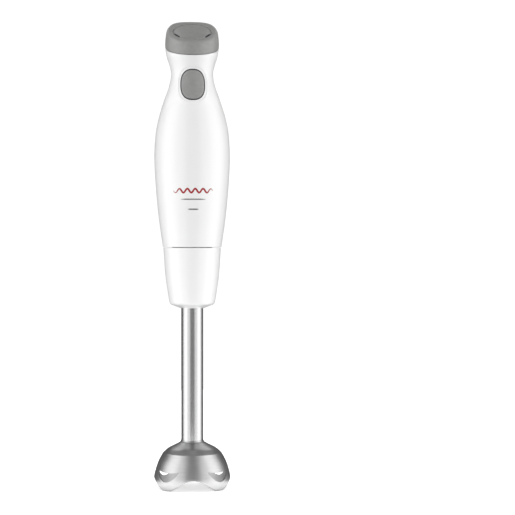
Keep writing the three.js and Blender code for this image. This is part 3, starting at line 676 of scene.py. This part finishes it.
def top_cap():
    angles = spin(180)
    corner = [cap_corner(a) for a in angles]
    bottom = [cap_seam(a) + CAP_GAP for a in angles]
    surface = Surface()
    rows = []
    for inset, rise in ((2.0, 0.0), (0.6, 0.0), (0.25, 0.0), (0.1, 0.07), (0.0, 0.25)):
        rows.append(turned([barrel_radius(b) - inset for b in bottom], angles, [b + rise for b in bottom]))
    for share in np.linspace(0.04, 1, 10):
        heights = [b + share * (c - EDGE_FALL - b) for b, c in zip(bottom, corner)]
        rows.append(turned([barrel_radius(z) for z in heights], angles, heights))
    rim = []
    for t in np.linspace(0, 1, 13)[1:]:
        row = []
        for a, c in zip(angles, corner):
            radius = barrel_radius(c)
            start = np.array((barrel_radius(c - EDGE_FALL), c - EDGE_FALL))
            end = np.array((radius - EDGE_WIDTH, top_face((radius - EDGE_WIDTH) * math.sin(a))))
            r, z = (1 - t) ** 2 * start + 2 * t * (1 - t) * np.array((radius, c)) + t * t * end
            row.append((r * math.cos(a), r * math.sin(a), z))
        rim.append(row)
    rows += rim
    well = []
    for x, y, _ in rim[-1]:
        along = (y - DISH_Y) / math.cos(TOP_TILT)
        well.append(math.atan2(along, x))
    for radius, depth in ((DISH_RADIUS + 0.7, 0), (DISH_RADIUS + 0.4, 0.04), (DISH_RADIUS + 0.12, 0.2),
                          (DISH_RADIUS, 0.5), (DISH_RADIUS, DISH_DEPTH), (DISH_RADIUS - 4, DISH_DEPTH)):
        rows.append([dish_point(a, radius, depth) for a in well])
    made = surface.grid(rows, closed=True)
    first = made[-2][0]
    bitten = {first + i for i, a in enumerate(well) if inlet_bite(a)}
    surface.faces = [f for f in surface.faces if not set(f) & bitten or min(f) < first]
    surface.fan(made[-1], dish_point(0, 0, DISH_DEPTH))
    return surface


def cap_insert():
    """A dished disc with a bite out of each side for the air to pass."""
    angles = spin(240)
    rim = DISH_RADIUS - DISH_GAP
    edge = [min(rim, inlet_bite(a) or rim) for a in angles]
    under = 3.9
    surface = Surface()
    rows = [[dish_point(a, r, under) for a, r in zip(angles, edge)]]
    for inset, depth in ((0.0, 1.0), (0.0, 0.75), (0.12, 0.5), (0.4, 0.32), (0.8, 0.26)):
        rows.append([dish_point(a, r - inset, depth) for a, r in zip(angles, edge)])
    hollow = ((0.9, 0.42), (0.84, 0.75), (0.76, 1.2), (0.64, 1.65), (0.5, 2.0), (0.34, 2.3), (0.17, 2.5))
    for share, depth in hollow:
        rows.append([dish_point(a, min(r - 0.9, rim * share), depth) for a, r in zip(angles, edge)])
    made = surface.grid(rows, closed=True)
    surface.fan(made[-1], dish_point(0, 0, 2.55))
    surface.fan(made[0], dish_point(0, 0, under))
    return surface


def inlet_shade_crescent(middle):
    """A black crescent in one of the air inlets, a little below the top face: painted shade, a dark sheet
    standing in for the shade inside the inlet.
    """
    steps, play = 30, 0.08
    rows = []
    for depth in (0.7, 1.5):
        inner, outer = [], []
        for u in np.linspace(-0.96, 0.96, steps + 1):
            angle = math.radians(middle) + u * INLET["long"] / INLET["radius"]
            bite = INLET["radius"] - INLET["wide"] * math.sqrt(1 - u * u)
            inner.append(dish_point(angle, bite + play, depth))
            outer.append(dish_point(angle, DISH_RADIUS - play, depth))
        rows.append(inner + outer[::-1])
    surface = Surface()
    made = surface.grid(rows, closed=True)
    for row in made:
        surface.faces += [(row[i], row[i + 1], row[-2 - i], row[-1 - i]) for i in range(steps)]
    return surface


def cord_gland():
    profile = [(3.65, 18.5, 0.2), (5.1, 18.5, 0.2), (5.1, 22.9, 0.3), (6.55, 23.3, 0.5), (6.55, 25.4, 0.6),
               (5.9, 26.0, 0.5), (3.65, 26.0, 0.5)]
    place = Matrix.Translation((0, 0, GLAND_Z)) @ Matrix.Rotation(-math.pi / 2, 4, "X")
    return moved(lathe(rounded(profile), 72), place)


# ------------------------------------------------------------------ button
def power_button():
    """The grip's own form, a little proud of it, with a soft edge, a skirt and a shallow thumb hollow."""
    angles = spin(120)
    surface = Surface()
    rows = []

    def ring(share, proud, inward=0.0, shrink=0.0):
        row = []
        for a in angles:
            width, height = (BUTTON_HALF_WIDTH - shrink) * share, (BUTTON_HALF_HEIGHT - shrink) * share
            dx, dz = superellipse(a, width, height, BUTTON_POWER)
            z = BUTTON_Z + dz
            y = -math.sqrt((barrel_radius(z) + proud) ** 2 - dx * dx) + inward
            row.append((dx, y, z))
        return row

    rows.append(ring(1, 0.0, BUTTON_DEPTH, 1.2))
    rows.append(ring(1, 0.0, BUTTON_DEPTH))
    rows.append(ring(1, 0.0, 0.4))
    proud, fillet, hollow = 0.5, 1.1, 0.35
    for t in np.linspace(0, 1, 9):
        a = t * math.pi / 2
        rows.append(ring(1, proud - fillet * (1 - math.sin(a)), 0.0, fillet * (1 - math.cos(a))))
    for share in (0.84, 0.72, 0.6, 0.45, 0.3, 0.15):
        rows.append(ring(share, proud - hollow * (1 - share**2)))
    made = surface.grid(rows, closed=True)
    surface.fan(made[-1], (0, -(barrel_radius(BUTTON_Z) + proud - hollow), BUTTON_Z))
    back = [(x, y + 0.01, z) for x, y, z in ring(0.5, 0.0, BUTTON_DEPTH)]
    inner = surface.row(back)
    surface.strip(made[0], inner, closed=True)
    surface.fan(inner, (0, -barrel_radius(BUTTON_Z) + BUTTON_DEPTH, BUTTON_Z))
    return surface


def button_gap_shade_strip():
    """A black strip that fills the gap between the button and the grip: painted shade, standing in for the
    shade in the gap.
    """
    angles = spin(96)
    surface = Surface()
    rows = []
    near, far, top, bottom = 0.12, BUTTON_GAP - 0.05, 0.25, 1.4
    for grow, deep in ((near, top), (far, top), (far, bottom), (near, bottom)):
        row = []
        for a in angles:
            dx, dz = superellipse(a, BUTTON_HALF_WIDTH + grow, BUTTON_HALF_HEIGHT + grow, BUTTON_POWER)
            z = BUTTON_Z + dz
            row.append((dx, -math.sqrt((barrel_radius(z) - deep) ** 2 - dx * dx), z))
        rows.append(row)
    surface.grid(rows, closed=True, ends_meet=True)
    return surface


# ------------------------------------------------------------------ foot
def foot_collar():
    outer = [(collar_radius(z), z, 0) for z in np.linspace(160, 204.6, 24)]
    inner = [(collar_radius(z) - COLLAR_WALL, z, 0) for z in np.linspace(204, 160.2, 8)]
    top, top_radius = 205.45, collar_radius(205.5)
    profile = [(COLLAR_BORE, 153.75, 0.3), (18.2, 156.85, 1.2), (19.15, 157.9, 0.8), *outer,
               (top_radius - 0.02, top, 0.35), (top_radius - COLLAR_WALL, top, 0.3), *inner,
               (COLLAR_BORE, 156.2, 0.2)]
    return lathe(rounded(profile), 160)


def shaft_tube():
    bore = TUBE_RADIUS - TUBE_WALL
    profile = [(bore, TUBE_FOOT, 0.1), (TUBE_RADIUS, TUBE_FOOT, 0.1), (TUBE_RADIUS, TUBE_TOP, 0.2),
               (bore, TUBE_TOP, 0.2)]
    return lathe(rounded(profile), 128)


def rim_height(angle):
    return max(0.0, LOBE_RISE * (1 + math.cos(LOBES * angle)) / 2 - LOBE_SINK)


def slot_edges(u):
    """Lower and upper edge of a slot at a distance along it from its middle, with round ends."""
    reach = min(abs(u) / SLOT["half_width"], 1)
    low = SLOT["low"] + SLOT["low_rise"] * reach**2
    high = SLOT["high"] + SLOT["high_rise"] * reach**2
    over = abs(u) - (SLOT["half_width"] - SLOT_END)
    if over > 0:
        middle, half = (low + high) / 2, (high - low) / 2
        half *= math.sqrt(max(1 - (over / SLOT_END) ** 2, 0))
        low, high = middle - half, middle + half
    return low, high


SLOT_HALF_ANGLE = math.degrees(math.asin(SLOT["half_width"] / SLOT_RADIUS))
LEVEL_Z = 20.5  # rows are level from here up
DOME = [(9.6, 39.6), (14.1, 37.2), (18.0, 35.3), (21.0, 33.6), (24.9, 30.12)]
SHOULDER = [(24.95, 30.05), (24.8, 30.18)]
NECK = [(10.8, 39.0), (10.4, 39.35), (10.1, 39.8), (9.9, 40.3), (9.75, 40.6), (9.6, 40.65)]


def bell_turns():
    """Angles of the bell's columns: fine at the slots' ends, even elsewhere, the same on every lobe."""
    offsets = {round(SLOT_HALF_ANGLE * (1 - share), 4) for share in (0, 0.02, 0.06, 0.12, 0.2)}
    offsets |= {*range(0, 17, 2), 24, 26, 28.5, 31, 33.5, 36, 38.5, 41, 43}
    lobes = [45 + 90 * k for k in range(LOBES)]
    turns = {(lobe + side * offset) % 360 for lobe in lobes for offset in offsets for side in (-1, 1)}
    return sorted(turns | {90.0 * k for k in range(LOBES)})


def slot_rows(turn):
    """Heights of the two rows that follow a slot's edges, and run on level between the slots."""
    off = (turn % 90) - 45
    low, high = slot_edges(SLOT_RADIUS * math.sin(math.radians(off)))
    past = abs(off) - SLOT_HALF_ANGLE
    if past > 0:
        blend = min(past / 12, 1)
        blend = blend * blend * (3 - 2 * blend)
        end = 16.1
        spread = min(past / 3, 1) * 0.5
        low = end + (14.2 - end) * blend - spread
        high = end + (17.4 - end) * blend + spread
    return low, high


def bell_guard():
    """Rows follow the rim and the slots' edges, then level out towards the crease and the dome."""
    turns = bell_turns()
    angles = [math.radians(t) for t in turns]
    rims = [rim_height(a) for a in angles]
    lows, highs = zip(*(slot_rows(t) for t in turns))
    rows = []

    def add(heights, inset=0.0):
        rows.append(turned([skirt_radius(z) - inset for z in heights], angles, heights))

    for share in (0, 0.02, 0.06, 0.15, 0.3, 0.45, 0.6, 0.75, 0.9, 0.97, 1):
        add([r + share * (w - r) for r, w in zip(rims, lows)], edge_drop(share * 7, 0.4))
    first = len(rows) - 1
    for share in (0.25, 0.5, 0.75, 1):
        add([w + share * (h - w) for w, h in zip(lows, highs)])
    last = len(rows) - 1
    for share in (0.03, 0.1, 0.25, 0.45, 0.7, 1):
        add([h + share * (LEVEL_Z - h) for h in highs])
    for z in (21.5, 22.5, 23.6, 24.8, 26, 27.2, 28.4, 29.3, 29.75, 29.95):
        add([z] * len(angles))
    dome_height = curve_through(DOME)
    dome = [(r, dome_height(r)) for r in (24, 23, 21.6, 20, 18, 16, 14.4, 13, 12, 11.3)]
    for r, z in SHOULDER + dome + NECK:
        rows.append(turned([r] * len(angles), angles, [z] * len(angles)))
    surface = Surface()
    made = surface.grid(rows, closed=True)
    in_slot = [abs((t % 90) - 45) <= SLOT_HALF_ANGLE + 1e-6 for t in turns]
    open_faces = set()
    for low, high in zip(made[first:last], made[first + 1:last + 1]):
        for j in range(len(turns)):
            k = (j + 1) % len(turns)
            if in_slot[j] and in_slot[k]:
                open_faces.add((low[j], low[k], high[k], high[j]))
    surface.faces = [f for f in surface.faces if f not in open_faces]
    return surface


def bell_hub():
    profile = [(5.65, 24.7, 0.4), (7.5, 24.7, 0.5), (8.0, 31.3, 0.9), (11.5, 31.7, 1.5), (18.5, 29.5, 0.4),
               (19.3, 30.5, 0.5), (18.3, 32.3, 0.5), (11.6, 35.8, 0.5), (8.1, 35.9, 0.4), (8.1, 57.8, 0.3),
               (5.65, 57.8, 0.3)]
    return lathe(rounded(profile), 96)


def shaft_seal():
    profile = [(3.15, 25.7, 0.2), (4.2, 25.7, 0.3), (5.25, 26.6, 0.4), (5.25, 29.9, 0.3), (3.45, 29.9, 0.2),
               (3.15, 29, 0.2)]
    return lathe(rounded(profile), 64)


def drive_shaft():
    profile = [(0, 10.65, 0), (3.4, 10.65, 0.5), (4.15, 11.2, 0.5), (4.15, 12.65, 0.15), (2.75, 12.7, 0),
               (2.75, 187.4, 0.6), (0, 188, 0)]
    return lathe(rounded(profile, closed=False), 64, closed=False)


def knife_holder():
    profile = [(3.1, 14.95, 0.1), (6.5, 14.95, 0.6), (6.5, 17.4, 1.0), (4.6, 22.9, 0.6), (3.1, 22.9, 0.3)]
    return lathe(rounded(profile), 72)


def both_ways(stations, sign):
    """Stations from the middle outwards, repeated on the other side with their values times the sign."""
    return [(-place, sign * value) for place, value in reversed(stations[1:])] + stations


RAISED_WING = [(-KNIFE_REACH, 4.6), (-21, 3.6), (-14, 1.2), (-9, 0)]
LOWERED_WING = [(0, 0), (9, 0), (14, -0.9), (21, -2.4), (KNIFE_REACH, -2.8)]
knife_lift = curve_through(RAISED_WING + LOWERED_WING)
knife_half = curve_through(both_ways([(0, 6.2), (9, 5.8), (14, 5.3), (21, 3.8), (KNIFE_REACH, 1.3)], 1))
knife_aside = curve_through(both_ways([(0, 0), (9, 0), (14, -0.2), (21, -1.4), (KNIFE_REACH, -2.6)], -1))
BEVEL_LOW, BEVEL_HIGH = 0.62, 0.88  # heights of the two corners of a ground edge


def knife():
    """Two bent wings with both long edges ground to a bevel on either face."""
    surface = Surface()
    rows = []
    for along in np.linspace(-KNIFE_REACH, KNIFE_REACH, 61):
        half = knife_half(along)
        aside = knife_aside(along)
        low = KNIFE_Z + knife_lift(along)
        grind = min(1.7, half * 0.6) * min(max((abs(along) - 6.5) / 2.5, 0.08), 1)
        flat = half - grind
        section = [(-half, BEVEL_LOW), (-flat, 0.0), (flat, 0.0), (half, BEVEL_LOW), (half, BEVEL_HIGH),
                   (flat, KNIFE_THICK), (-flat, KNIFE_THICK), (-half, BEVEL_HIGH)]
        rows.append([(aside + x, along, low + z) for x, z in section])
    made = surface.grid(rows, closed=True)
    for end in (made[0], made[-1]):
        surface.faces.append(tuple(end))
    return surface


def shell_screw(x, z):
    """A pan head with a hexagonal socket, over its shank. It points to the front."""
    count = 48
    angles = spin(count)
    hexagon = []
    for a in angles:
        off = (math.degrees(a) + 30) % 60 - 30
        hexagon.append(SCREW_KEY / math.cos(math.radians(off)))
    surface = Surface()
    rows = []
    point_and_shank = [(0.01, SCREW_LENGTH), (1.35, 15.3), (SCREW_RADIUS, 14.9), (SCREW_RADIUS, 0.0)]
    head = [(2.6, 0.0), (2.75, -0.15), (2.78, -0.8), (2.55, -1.4), (2.1, -1.85), (1.75, -2.0)]
    for r, h in point_and_shank + head:
        rows.append(turned([r] * count, angles, [h] * count))
    for grow, h in ((0.12, -2.05), (0.0, -1.95), (0.0, -0.9)):
        rows.append(turned([r + grow for r in hexagon], angles, [h] * count))
    made = surface.grid(rows, closed=True)
    surface.fan(made[0], (0, 0, SCREW_LENGTH))
    surface.fan(made[-1], (0, 0, -0.7))
    place = Matrix.Translation((x, SCREW_SEAT_Y, z)) @ Matrix.Rotation(math.pi / 2, 4, "X")
    return moved(surface, place)


# ------------------------------------------------------------------ printed mark on the grip
def print_stroke(points, width, lift=0.05):
    """A stroke of ink on the front of the grip, through (x, z) points."""
    surface = Surface()
    rows = []
    path = np.array(points, float)
    slopes = np.gradient(path, axis=0)
    for (x, z), (sx, sz), share in zip(path, slopes, np.linspace(0, 1, len(path))):
        length = math.hypot(sx, sz)
        taper = width / 2 * min(1, 0.25 + 4 * min(share, 1 - share))
        ends = []
        for side in (-1, 1):
            px = x - side * sz / length * taper
            pz = z + side * sx / length * taper
            radius = barrel_radius(pz) + lift
            ends.append((px, -math.sqrt(radius**2 - px * px), pz))
        rows.append(ends)
    surface.grid(rows)
    return surface


def wave_mark():
    """Five even waves across the front of the grip."""
    points = []
    for x in np.linspace(-WAVE["half_length"], WAVE["half_length"], 133):
        points.append((x, WAVE["z"] + WAVE["rise"] * math.sin(2 * math.pi * x / WAVE["length"])))
    return print_stroke(points, WAVE["width"])


def rule_mark(z, half_length, width):
    return print_stroke([(x, z) for x in np.linspace(-half_length, half_length, 25)], width)


# ------------------------------------------------------------------ making the pieces
piece("grip_front", "motor_unit", ["front_shell"], front_shell(), WHITE, SHELL_WALL)
piece("grip_rear", "motor_unit", ["rear_shell"], rear_shell(), WHITE, SHELL_WALL)
for side, place in ((-1, "left"), (1, "right")):
    piece("tongue_" + place, "motor_unit", [], parting_tongue(side), WHITE, TONGUE_WALL)
piece("cap", "motor_unit", ["top_cap"], top_cap(), GREY, 1.4)
piece("cap_dish", "motor_unit", ["cap_insert"], cap_insert(), GREY)
# black crescents in the air inlets: painted shade where the inlets are only in shade
for place, middle in (("left", 180 + INLET["angle"]), ("right", -INLET["angle"])):
    piece("inlet_shade_crescent_" + place, "motor_unit", [], inlet_shade_crescent(middle), BLACK)
piece("cord_inlet", "motor_unit", ["cord_gland"], cord_gland(), GREY)
piece("mark_wave", "motor_unit", [], wave_mark(), RED_INK)
for name, rule in RULES.items():
    piece(name, "motor_unit", [], rule_mark(*rule), GREY_INK)
for place, (x, z) in SHELL_SCREWS.items():
    name = "shell_screw_" + place
    piece("case_screw_" + place, "motor_unit", [name], shell_screw(x, z), ZINC)
piece("push_button", "button", ["power_button"], power_button(), GREY)
# a black strip in the button's gap: painted shade
piece("button_gap_shade", "motor_unit", [], button_gap_shade_strip(), RUBBER)
piece("collar", "foot", ["foot_collar"], foot_collar(), WHITE)
piece("steel_tube", "foot", ["shaft_tube"], shaft_tube(), TUBE_STEEL)
piece("bell", "foot", ["bell_guard"], bell_guard(), BELL_STEEL, BELL_WALL, 30)
piece("hub", "foot", ["bell_hub"], bell_hub(), INNER)
piece("lip_seal", "foot", ["shaft_seal"], shaft_seal(), RUBBER)
piece("long_shaft", "blade_shaft", ["drive_shaft"], drive_shaft(), ZINC)
piece("blade_carrier", "blade_shaft", ["knife_holder"], knife_holder(), BLACK)
piece("blade", "blade_shaft", ["knife"], knife(), BLADE_STEEL, 0, 20)

slot_of = {s["node"]: s["material_slot"] for s in frame["record"]["subparts"]}
for node, obj in frame["nodes"].items():
    if obj.hide_render:
        continue
    obj.data.materials.clear()
    obj.data.materials.append(SLOT_MATERIALS[slot_of[node]])
    obj.data.shade_smooth()
    obj.data.set_sharp_from_angle(angle=math.radians(32))


# ------------------------------------------------------------------ floor, backdrop light and studio lights
GLOW_REACH, GLOW_TOP = 0.1, 1.3


def floor_material(name, glows):
    """Pale all over, with a glow given by (radius, strength) stops and even outside them."""
    m = Nodes(name, (0.9, 0.9, 0.9), 0.7)
    m.shade(m.noise(3, 2), (0.88, 0.88, 0.88), (0.9, 0.9, 0.9))
    m.shader.inputs["Emission Color"].default_value = (1, 1, 1, 1)
    away = m.add("ShaderNodeVectorMath", operation="LENGTH")
    m.link(m.place, away.inputs[0])
    share = m.add("ShaderNodeMapRange")
    share.inputs["From Max"].default_value = GLOW_REACH
    m.link(away.outputs["Value"], share.inputs["Value"])
    ramp = m.add("ShaderNodeValToRGB")
    ramp.color_ramp.interpolation = "EASE"
    while len(ramp.color_ramp.elements) < len(glows):
        ramp.color_ramp.elements.new(1)
    for stop, (radius, strength) in zip(ramp.color_ramp.elements, glows):
        stop.position = radius / GLOW_REACH
        stop.color = (*[strength / GLOW_TOP] * 3, 1)
    m.link(share.outputs["Result"], ramp.inputs["Fac"])
    glow = m.add("ShaderNodeMapRange")
    glow.inputs["To Max"].default_value = GLOW_TOP
    m.link(ramp.outputs["Color"], glow.inputs["Value"])
    m.link(glow.outputs["Result"], m.shader.inputs["Emission Strength"])
    return m.material


def floor_disc(name, radius, z, material, middle_y=0):
    surface = Surface()
    rows = [[(r * math.cos(a), middle_y + r * math.sin(a), z) for a in spin(64)]
            for r in np.linspace(radius / 20, radius, 12)]
    made = surface.grid(rows, closed=True)
    surface.fan(made[0], (0, middle_y, z))
    mesh = bpy.data.meshes.new(name)
    mesh.from_pydata([Vector(p) * MM for p in surface.points], [], surface.faces)
    mesh.materials.append(material)
    disc = bpy.data.objects.new(name, mesh)
    bpy.context.scene.collection.objects.link(disc)
    return disc


FLOOR_RADIUS, FLOOR_Z = 950, -0.2
NEAR_RADIUS, NEAR_Y, NEAR_Z = 95, -60, -0.4
FLOOR_GLOWS = [(0, 0.42), (0.08, 0.9)]  # (metres from the axis, strength)
# the dim stops from 29 to 35 mm are a painted contact shadow under the lobes
NEAR_GLOWS_AND_SHADOW_RING = [(0.022, 1.1), (0.029, 0.25), (0.035, 0.25), (0.045, 1.3)]

# The camera sees only the large disc. Reflections and bounced light see only the small one, which glows
# but for a dim ring under the lobes, a painted contact shadow. Neither blocks the panels, which reach below
# the floor.
floor = floor_disc("floor", FLOOR_RADIUS, FLOOR_Z, floor_material("pale_floor", FLOOR_GLOWS))
floor.visible_diffuse = False
floor.visible_glossy = False
floor.visible_shadow = False
near_floor = floor_disc("near_floor", NEAR_RADIUS, NEAR_Z, floor_material("near_floor", NEAR_GLOWS_AND_SHADOW_RING), NEAR_Y)
near_floor.visible_camera = False
near_floor.visible_shadow = False

FRONT_FILL, REAR_FILL, ROOM_WHITE = 0.32, 0.13, 1.05  # only the camera sees the last

world = bpy.data.worlds.new("studio")
bpy.context.scene.world = world
world.use_nodes = True
tree = world.node_tree
background = tree.nodes["Background"]
background.inputs["Color"].default_value = (1, 1, 1, 1)
direction = tree.nodes.new("ShaderNodeTexCoord")
parts = tree.nodes.new("ShaderNodeSeparateXYZ")
fill = tree.nodes.new("ShaderNodeMapRange")
for socket, value in (("From Min", -0.5), ("From Max", 0.7), ("To Min", FRONT_FILL), ("To Max", REAR_FILL)):
    fill.inputs[socket].default_value = value
tree.links.new(direction.outputs["Generated"], parts.inputs["Vector"])
tree.links.new(parts.outputs["Y"], fill.inputs["Value"])
tree.links.new(fill.outputs["Result"], background.inputs["Strength"])
white_room = tree.nodes.new("ShaderNodeBackground")
white_room.inputs["Color"].default_value = (1, 1, 1, 1)
white_room.inputs["Strength"].default_value = ROOM_WHITE
by_ray = tree.nodes.new("ShaderNodeMixShader")
ray = tree.nodes.new("ShaderNodeLightPath")
tree.links.new(ray.outputs["Is Camera Ray"], by_ray.inputs["Fac"])
tree.links.new(background.outputs["Background"], by_ray.inputs[1])
tree.links.new(white_room.outputs["Background"], by_ray.inputs[2])
tree.links.new(by_ray.outputs["Shader"], tree.nodes["World Output"].inputs["Surface"])


def softbox(name, place, aim, size, power, glossy=True):
    data = bpy.data.lights.new(name, "AREA")
    data.shape = "RECTANGLE"
    data.size, data.size_y = size
    data.energy = power
    obj = bpy.data.objects.new(name, data)
    obj.location = place
    direction = Vector(aim) - Vector(place)
    obj.rotation_euler = direction.to_track_quat("-Z", "Y").to_euler()
    obj.visible_camera = False
    obj.visible_glossy = glossy
    bpy.context.scene.collection.objects.link(obj)


PANEL_Z = 0.7
PANELS = {  # degrees from the front, distance, size and power
    "wide": (67, 1.4, (2.6, 3.2), 24.5),
    "narrow": (75, 1.35, (1.0, 3.2), 8.2),
}
UPPER_PANEL = {"x": 0.6, "y": 1.2, "z": 1.5, "size": (0.6, 0.8), "power": 1.8}
REAR_PANEL = {"place": (0, 1.7, 1.0), "aim": (0, 0, 0.3), "size": (1.2, 1.6), "power": 10}
for kind, (azimuth, distance, size, power) in PANELS.items():
    aside = distance * math.sin(math.radians(azimuth))
    ahead = distance * math.cos(math.radians(azimuth))
    for side, name in ((-1, "left_panel"), (1, "right_panel")):
        softbox(kind + "_" + name, (side * aside, -ahead, PANEL_Z), (0, 0, PANEL_Z), size, power)
for side, name in ((-1, "upper_left_panel"), (1, "upper_right_panel")):
    place = (side * UPPER_PANEL["x"], UPPER_PANEL["y"], UPPER_PANEL["z"])
    softbox(name, place, (0, 0, 0), UPPER_PANEL["size"], UPPER_PANEL["power"])
softbox("rear_panel", **REAR_PANEL, glossy=False)
